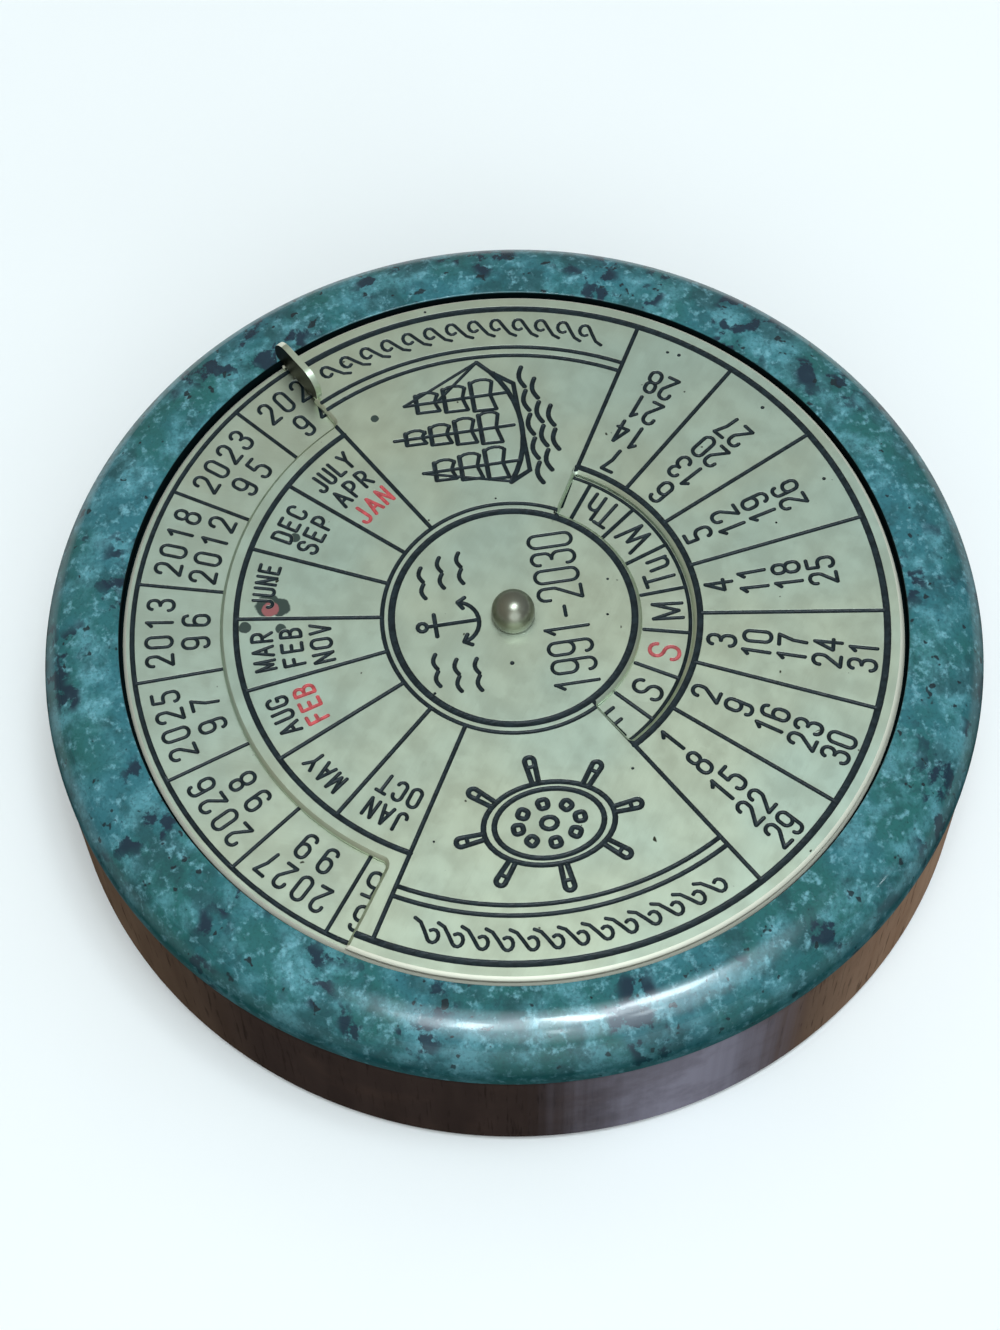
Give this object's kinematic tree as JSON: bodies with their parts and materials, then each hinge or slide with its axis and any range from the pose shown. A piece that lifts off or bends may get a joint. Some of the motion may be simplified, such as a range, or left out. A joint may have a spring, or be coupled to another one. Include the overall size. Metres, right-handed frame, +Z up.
{
  "type": "perpetual desk calendar",
  "caption": "Round desk calendar: two etched brass plates on a domed pin turn over each other in a green marble slab on a turned wooden base.",
  "frame": {"origin": "centre of the felt underside, on the pin's axis", "axes": "+Z up along the pin, out of the dial's face; the middle of the month sector is towards +Y and the middle of the date sector towards -Y"},
  "size_m": [0.0852, 0.0852, 0.0228],
  "materials": {
    "felt": "pressed felt",
    "stained_wood": "dark stain under satin lacquer",
    "adhesive": "matt",
    "marble": "polished, mottled teal with dark veins",
    "etched_brass": "satin lacquered face, enamel-filled etching",
    "slip_film": "thin film",
    "nickel": "polished nickel plate",
    "zinc_steel": "zinc plated"
  },
  "bodies": {
    "base": {"felt_pad": "felt", "wood_base": "stained_wood", "bond_disc": "adhesive", "marble_slab": "marble", "plate_tape": "adhesive", "year_plate": "etched_brass", "slip_washer": "slip_film", "pivot_pin": "nickel", "flat_washer": "zinc_steel", "spring_washer": "zinc_steel", "pin_nut": "zinc_steel"},
    "dial": {"dial_plate": "etched_brass"}
  },
  "joints": [
    {"name": "dial_turn", "type": "hinge", "parent": "base", "child": "dial", "pos_m": [0, 0, 0.0192], "axis": [0, 0, 1], "continuous": true}
  ]
}
